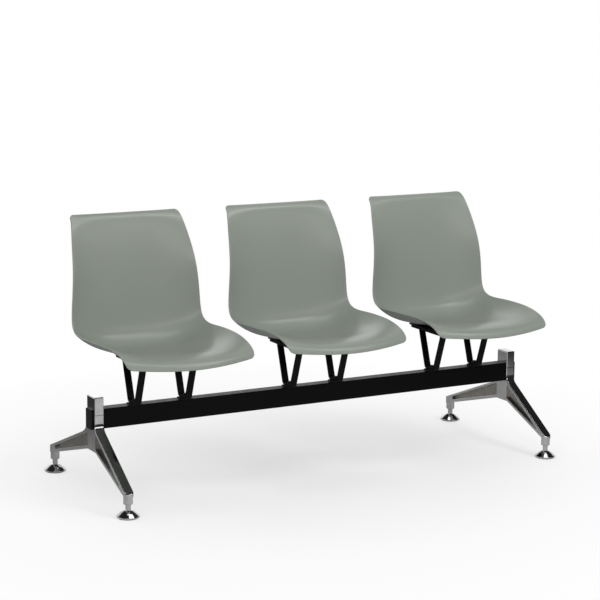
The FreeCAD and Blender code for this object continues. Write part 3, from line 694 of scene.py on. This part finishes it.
def soft_box(name, place, width, height, power):
    data = bpy.data.lights.new(name, "AREA")
    data.shape = "RECTANGLE"
    data.size = width
    data.size_y = height
    data.energy = power
    lamp = bpy.data.objects.new(name, data)
    lamp.location = place
    lamp.rotation_mode = "QUATERNION"
    lamp.rotation_quaternion = (LIT_MIDDLE - Vector(place)).to_track_quat("-Z", "Y")
    bpy.context.scene.collection.objects.link(lamp)


def make_lights():
    soft_box("top_box", (0.5, -0.4, 5.0), 2.0, 3.0, 36.0)
    soft_box("key_box", (1.9, -2.2, 4.2), 1.4, 1.4, 32.0)
    soft_box("front_strip", (0.2, -5.5, 2.5), 6.5, 1.3, 40.0)
    soft_box("left_strip", (-3.5, -3.8, 2.4), 2.0, 1.2, 20.0)
    soft_box("back_box", (1.9, 2.3, 3.2), 1.6, 1.6, 5.0)
    soft_box("back_strip", (1.2, 4.5, 1.6), 3.0, 0.8, 2.6)


# Turned pieces: how many points a ring has, and the angle from which an edge is sharp
RING_POINTS = 48
CREASE = math.radians(30)


# One ring, round or with flats as far out as its radius
def ring(radius, height, flats):
    points = []
    for i in range(RING_POINTS):
        angle = math.tau * i / RING_POINTS
        reach = radius
        if flats:
            reach = radius / math.cos(angle % (math.tau / flats) - math.pi / flats)
        points.append(Vector((reach * math.cos(angle), reach * math.sin(angle), height)))
    return points


# Turned piece from rings of (radius, height, flats) in millimetres, from its lower pole to its upper one
def turned_mesh(profile, head_down=False):
    points = [Vector((0, 0, profile[0][1]))]
    for radius, height, flats in profile:
        points += ring(radius, height, flats)
    points.append(Vector((0, 0, profile[-1][1])))
    last = len(points) - 1
    faces = []
    for i in range(RING_POINTS):
        following = (i + 1) % RING_POINTS
        faces.append([0, 1 + following, 1 + i])
        for lower in range(1, last - RING_POINTS, RING_POINTS):
            upper = lower + RING_POINTS
            faces.append([lower + i, lower + following, upper + following, upper + i])
        faces.append([last - RING_POINTS + i, last - RING_POINTS + following, last])
    if head_down:
        points = [Vector((p.x, -p.y, -p.z)) for p in points]
    return points, faces


# Geometry Nodes: a tree with named inputs, the end that every tree has, and the plain mesh that it gives
def geometry_tree(name, inputs):
    tree = bpy.data.node_groups.new(name, "GeometryNodeTree")
    tree.interface.new_socket(name="Geometry", in_out="INPUT", socket_type="NodeSocketGeometry")
    for label, kind in inputs:
        tree.interface.new_socket(name=label, in_out="INPUT", socket_type=kind)
    tree.interface.new_socket(name="Finish", in_out="INPUT", socket_type="NodeSocketMaterial")
    tree.interface.new_socket(name="Geometry", in_out="OUTPUT", socket_type="NodeSocketGeometry")
    return tree, add(tree, "NodeGroupInput")


def end_tree(tree, given, source):
    real = add(tree, "GeometryNodeRealizeInstances")
    smooth = add(tree, "GeometryNodeSetShadeSmooth")
    finish = add(tree, "GeometryNodeSetMaterial")
    link(tree, source, real.inputs["Geometry"])
    link(tree, real.outputs["Geometry"], smooth.inputs["Geometry"])
    link(tree, smooth.outputs["Geometry"], finish.inputs["Geometry"])
    link(tree, given.outputs["Finish"], finish.inputs["Material"])
    link(tree, finish.outputs["Geometry"], add(tree, "NodeGroupOutput").inputs["Geometry"])
    return tree


def grow(name, tree, points, edges, heights=None, **values):
    mesh = bpy.data.meshes.new(name + "_places")
    mesh.from_pydata(points, edges, [])
    if heights:
        mesh.attributes.new("height", "FLOAT", "POINT").data.foreach_set("value", heights)
    places = show(name + "_places", mesh)
    modifier = places.modifiers.new("grown", "NODES")
    modifier.node_group = tree
    sockets = {item.name: item.identifier for item in tree.interface.items_tree if item.in_out == "INPUT"}
    for label, value in values.items():
        modifier[sockets[label.replace("_", " ")]] = value
    graph = bpy.context.evaluated_depsgraph_get()
    grown = bpy.data.meshes.new_from_object(places.evaluated_get(graph))
    places.modifiers.remove(modifier)
    bpy.data.objects.remove(places)
    grown.name = name
    grown.set_sharp_from_angle(angle=CREASE)
    return show(name, grown)


# One fastener on each point, each turned by its own angle
def fastener_tree():
    tree, given = geometry_tree("fasteners", [
        ("Fastener", "NodeSocketObject"), ("Turn Seed", "NodeSocketInt")])
    shape = set_inputs(add(tree, "GeometryNodeObjectInfo"), As_Instance=True)
    turn = set_inputs(add(tree, "FunctionNodeRandomValue", data_type="FLOAT_VECTOR"),
                      Min=(0.0, 0.0, 0.0), Max=(0.0, 0.0, math.tau))
    copies = add(tree, "GeometryNodeInstanceOnPoints")
    link(tree, given.outputs["Fastener"], shape.inputs["Object"])
    link(tree, given.outputs["Turn Seed"], turn.inputs["Seed"])
    link(tree, given.outputs["Geometry"], copies.inputs["Points"])
    link(tree, shape.outputs["Geometry"], copies.inputs["Instance"])
    link(tree, turn.outputs["Value"], copies.inputs["Rotation"])
    return end_tree(tree, given, copies.outputs["Instances"])


# A ridge that winds up from each point
def thread_tree():
    tree, given = geometry_tree("screw_thread", [
        ("Radius", "NodeSocketFloat"), ("Length", "NodeSocketFloat"), ("Turns", "NodeSocketFloat"),
        ("Crest", "NodeSocketFloat")])
    ridge = set_inputs(add(tree, "GeometryNodeCurveSpiral"), Resolution=28)
    section = set_inputs(add(tree, "GeometryNodeCurvePrimitiveCircle"), Resolution=6)
    solid = set_inputs(add(tree, "GeometryNodeCurveToMesh"), Fill_Caps=True)
    copies = add(tree, "GeometryNodeInstanceOnPoints")
    link(tree, given.outputs["Turns"], ridge.inputs["Rotations"])
    link(tree, given.outputs["Radius"], ridge.inputs["Start Radius"])
    link(tree, given.outputs["Radius"], ridge.inputs["End Radius"])
    link(tree, given.outputs["Length"], ridge.inputs["Height"])
    link(tree, given.outputs["Crest"], section.inputs["Radius"])
    link(tree, ridge.outputs["Curve"], solid.inputs["Curve"])
    link(tree, section.outputs["Curve"], solid.inputs["Profile Curve"])
    link(tree, given.outputs["Geometry"], copies.inputs["Points"])
    link(tree, solid.outputs["Mesh"], copies.inputs["Instance"])
    return end_tree(tree, given, copies.outputs["Instances"])


# A bead along each edge, whose radius wanders down from the given one by the ripple's share of it
def weld_tree():
    tree, given = geometry_tree("weld_beads", [
        ("Radius", "NodeSocketFloat"), ("Ripple", "NodeSocketFloat"), ("Step", "NodeSocketFloat"),
        ("Ripple Seed", "NodeSocketInt")])
    path = add(tree, "GeometryNodeMeshToCurve")
    steps = add(tree, "GeometryNodeResampleCurve", mode="LENGTH")
    ripple = add(tree, "FunctionNodeRandomValue", data_type="FLOAT")
    swell = add(tree, "GeometryNodeSetCurveRadius")
    section = set_inputs(add(tree, "GeometryNodeCurvePrimitiveCircle"), Resolution=12)
    solid = set_inputs(add(tree, "GeometryNodeCurveToMesh"), Fill_Caps=True)
    link(tree, given.outputs["Geometry"], path.inputs["Mesh"])
    link(tree, path.outputs["Curve"], steps.inputs["Curve"])
    link(tree, given.outputs["Step"], steps.inputs["Length"])
    link(tree, calculate(tree, "SUBTRACT", 1.0, given.outputs["Ripple"]), ripple.inputs["Min"])
    link(tree, given.outputs["Ripple Seed"], ripple.inputs["Seed"])
    link(tree, steps.outputs["Curve"], swell.inputs["Curve"])
    link(tree, ripple.outputs["Value"], swell.inputs["Radius"])
    link(tree, given.outputs["Radius"], section.inputs["Radius"])
    link(tree, swell.outputs["Curve"], solid.inputs["Curve"])
    link(tree, section.outputs["Curve"], solid.inputs["Profile Curve"])
    return end_tree(tree, given, solid.outputs["Mesh"])


# Bosses under each shell, from the seat plate up into the shell's wall
BOSS_X = 58.0
BOSS_PLACES_Y = (-80.0, 104.0)
BOSS_SPOTS = [(side * BOSS_X, y) for side in (-1, 1) for y in BOSS_PLACES_Y]
BOSS_RADIUS = 8.5
BOSS_ROOT = 1.5
BOSS_RIB_REACH = 24.0
BOSS_RIB_THICKNESS = 2.0
BOSS_RIB_SHARE = 0.8

# Where the shell's underside is looked up for a boss: at this many places, and below the back
BOSS_SAMPLES = 120
BACK_START = 120.0


# A boss with crossed ribs up from each point, as tall as the point's height says. It is made 1 tall, with
# ribs over the upper share of it, and stretched.
def boss_tree():
    tree, given = geometry_tree("ribbed_bosses", [
        ("Radius", "NodeSocketFloat"), ("Rib Reach", "NodeSocketFloat"),
        ("Rib Thickness", "NodeSocketFloat")])
    post = set_inputs(add(tree, "GeometryNodeMeshCylinder"), Vertices=40, Depth=1.0)
    joined = add(tree, "GeometryNodeJoinGeometry")
    lifted = set_inputs(add(tree, "GeometryNodeTransform"), Translation=(0.0, 0.0, 0.5))
    tall = set_inputs(add(tree, "GeometryNodeInputNamedAttribute", data_type="FLOAT"), Name="height")
    stretch = set_inputs(add(tree, "ShaderNodeCombineXYZ"), X=1.0, Y=1.0)
    copies = add(tree, "GeometryNodeInstanceOnPoints")
    to_top = (0.0, 0.0, (1 - BOSS_RIB_SHARE) / 2)
    for x_reach, y_reach in (("Rib Reach", "Rib Thickness"), ("Rib Thickness", "Rib Reach")):
        rib = add(tree, "GeometryNodeMeshCube")
        size = set_inputs(add(tree, "ShaderNodeCombineXYZ"), Z=BOSS_RIB_SHARE)
        raised = set_inputs(add(tree, "GeometryNodeTransform"), Translation=to_top)
        link(tree, given.outputs[x_reach], size.inputs["X"])
        link(tree, given.outputs[y_reach], size.inputs["Y"])
        link(tree, size.outputs["Vector"], rib.inputs["Size"])
        link(tree, rib.outputs["Mesh"], raised.inputs["Geometry"])
        link(tree, raised.outputs["Geometry"], joined.inputs["Geometry"])
    link(tree, given.outputs["Radius"], post.inputs["Radius"])
    link(tree, post.outputs["Mesh"], joined.inputs["Geometry"])
    link(tree, joined.outputs["Geometry"], lifted.inputs["Geometry"])
    link(tree, tall.outputs["Attribute"], stretch.inputs["Z"])
    link(tree, given.outputs["Geometry"], copies.inputs["Points"])
    link(tree, lifted.outputs["Geometry"], copies.inputs["Instance"])
    link(tree, stretch.outputs["Vector"], copies.inputs["Scale"])
    return end_tree(tree, given, copies.outputs["Instances"])


def boss_height(face, y):
    under = []
    for i in range(BOSS_SAMPLES):
        distance = face.length * i / BOSS_SAMPLES
        across = BOSS_X / (face.half_width(face.place_at(distance)) - SHELL_CORNER)
        under.append(face.sunk(distance, across, SHELL_WALL))
    seat = [point for point in under if point.z <= BACK_START]
    return min(seat, key=lambda point: abs(point.y - y)).z + BOSS_ROOT


# Points on a seat plate's upper or lower face, one at each boss
def boss_points(seat, upper=True):
    return placed([Vector((x, y, 0.0)) for x, y in BOSS_SPOTS], plate_middle(seat, upper))


def shell_bosses(face, finish):
    tree = boss_tree()
    heights = [boss_height(face, y) * MM for x, y in BOSS_SPOTS]
    for seat in SEATS:
        bosses = grow(f"seat_{seat}_moulded_bosses", tree, boss_points(seat), [], heights,
                      Radius=BOSS_RADIUS * MM, Rib_Reach=BOSS_RIB_REACH * MM,
                      Rib_Thickness=BOSS_RIB_THICKNESS * MM, Finish=finish)
        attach(bosses, "root")


# Socket fasteners, in millimetres from the face that the head bears on: radius, height, flats
FOOT_BOLT = [
    (3.4, -21.0, 0), (4.0, -20.4, 0), (4.0, 0.0, 0), (8.0, 0.0, 0), (8.0, 0.8, 0), (7.6, 1.2, 0),
    (6.5, 1.2, 0), (6.5, 4.3, 0), (6.3, 4.8, 0), (5.8, 5.0, 0), (2.9, 5.0, 6), (2.5, 4.6, 6), (2.5, 2.5, 6),
]
SHELL_SCREW = [
    (2.5, -9.0, 0), (3.0, -8.5, 0), (3.0, 0.0, 0), (5.5, 0.0, 0), (5.5, 0.7, 0), (5.2, 1.8, 0), (4.5, 2.8, 0),
    (3.6, 3.4, 0), (3.1, 3.5, 0), (2.3, 3.5, 6), (2.0, 3.2, 6), (2.0, 1.5, 6),
]

# Added to a seat's number for its screws, so that they turn in another way than its bolts
SCREW_SEED = 10

# Thickness of the V supports' bar, and how long its slanting end is along the rail, in thicknesses
STRAP_THICKNESS = 8.0
STRAP_SLANT = 1.055


def fasteners(finish):
    tree = fastener_tree()
    bolt_points, bolt_faces = turned_mesh(FOOT_BOLT)
    screw_points, screw_faces = turned_mesh(SHELL_SCREW, head_down=True)
    bolt = mesh_piece("foot_bolt_pattern", placed(bolt_points), bolt_faces)
    screw = mesh_piece("shell_screw_pattern", placed(screw_points), screw_faces)
    for seat in SEATS:
        places = []
        for side in SIDES:
            low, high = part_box(f"seat_{seat}_v_strap_{side}")
            places.append(Vector(((low.x + high.x) / 2, BEAM_MIDDLE, low.z + STRAP_THICKNESS * MM)))
        bolts = grow(f"seat_{seat}_socket_bolts", tree, places, [], Fastener=bolt, Turn_Seed=seat,
                     Finish=finish)
        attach(bolts, "root")
        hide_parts(f"seat_{seat}_foot_bolts")
        screws = grow(f"seat_{seat}_socket_screws", tree, boss_points(seat, upper=False), [],
                      Fastener=screw, Turn_Seed=seat + SCREW_SEED, Finish=finish)
        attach(screws, "root")
        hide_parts(f"seat_{seat}_shell_screws")
    bpy.data.objects.remove(bolt)
    bpy.data.objects.remove(screw)


# Weld beads where the V supports meet their rails
WELD_RADIUS = 1.7
WELD_RIPPLE = 0.25
WELD_STEP = 1.2
WELD_INSET = 1.5


def weld_beads(finish):
    tree = weld_tree()
    for seat in SEATS:
        points = []
        for side in SIDES:
            low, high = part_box(f"seat_{seat}_v_strap_{side}")
            for end, outer in ((-1, low.y), (1, high.y)):
                inner = outer - end * STRAP_THICKNESS * STRAP_SLANT * MM
                for y in (outer, inner):
                    points.append(Vector((low.x + WELD_INSET * MM, y, high.z)))
                    points.append(Vector((high.x - WELD_INSET * MM, y, high.z)))
        edges = [(i, i + 1) for i in range(0, len(points), 2)]
        beads = grow(f"seat_{seat}_weld_beads", tree, points, edges, Radius=WELD_RADIUS * MM,
                     Ripple=WELD_RIPPLE, Step=WELD_STEP * MM, Ripple_Seed=seat, Finish=finish)
        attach(beads, "root")


# Glide stems: a plain shank below, a thread above it that the socket hides until the glide is let down
STEM_RADIUS = 8.0
STEM_CORE = 7.3
STEM_PROFILE = [
    (5.5, 9.0, 0), (6.0, 9.5, 0), (6.0, 22.0, 0), (7.5, 22.0, 0), (STEM_RADIUS, 22.5, 0),
    (STEM_RADIUS, 41.0, 0), (STEM_CORE, 41.8, 0), (STEM_CORE, 63.4, 0), (6.7, 64.0, 0),
]
THREAD_START = 42.2
THREAD_LENGTH = 20.8
THREAD_PITCH = 1.6
THREAD_CREST = 0.65


def glide_stems(finish):
    tree = thread_tree()
    points, faces = turned_mesh(STEM_PROFILE)
    for side in SIDES:
        for foot in FEET:
            node = f"{side}_{foot}_glide_stem"
            low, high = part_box(node)
            middle = Vector(((low.x + high.x) / 2, (low.y + high.y) / 2, 0.0))
            shank = mesh_piece(f"{side}_{foot}_glide_shank", placed(points, middle), faces)
            shank.data.set_sharp_from_angle(angle=CREASE)
            shank.data.materials.append(finish)
            start = middle + Vector((0.0, 0.0, THREAD_START * MM))
            thread = grow(f"{side}_{foot}_glide_thread", tree, [start], [],
                          Radius=(STEM_RADIUS - THREAD_CREST) * MM, Length=THREAD_LENGTH * MM,
                          Turns=THREAD_LENGTH / THREAD_PITCH, Crest=THREAD_CREST * MM, Finish=finish)
            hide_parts(node)
            for piece in (shank, thread):
                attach(piece, f"{side}_{foot}_stem")


def make_finishes():
    groups = {"wander": wander_group(), "grain": grain_group(), "edge_wear": edge_wear_group()}
    return {
        "shell": moulded_plastic(groups),
        "paint": painted_steel(groups),
        "chrome": polished_chrome(groups),
        "leg": leg_casting_chrome(groups),
        "zinc": zinc_steel(groups),
        "bolt": black_bolt(groups),
        "brass": brass(groups),
        "plastic": black_plastic(groups),
        "rubber": rubber(groups),
    }


scene = bpy.context.scene
scene.view_settings.view_transform = "Standard"
make_camera()
make_world()
make_lights()
make_floor()
finishes = make_finishes()
paint_nodes(finishes)
face = ShellFace()
seat_shells(face, finishes["shell"])
shell_bosses(face, finishes["shell"])
fasteners(finishes["bolt"])
weld_beads(finishes["paint"])
glide_stems(finishes["chrome"])
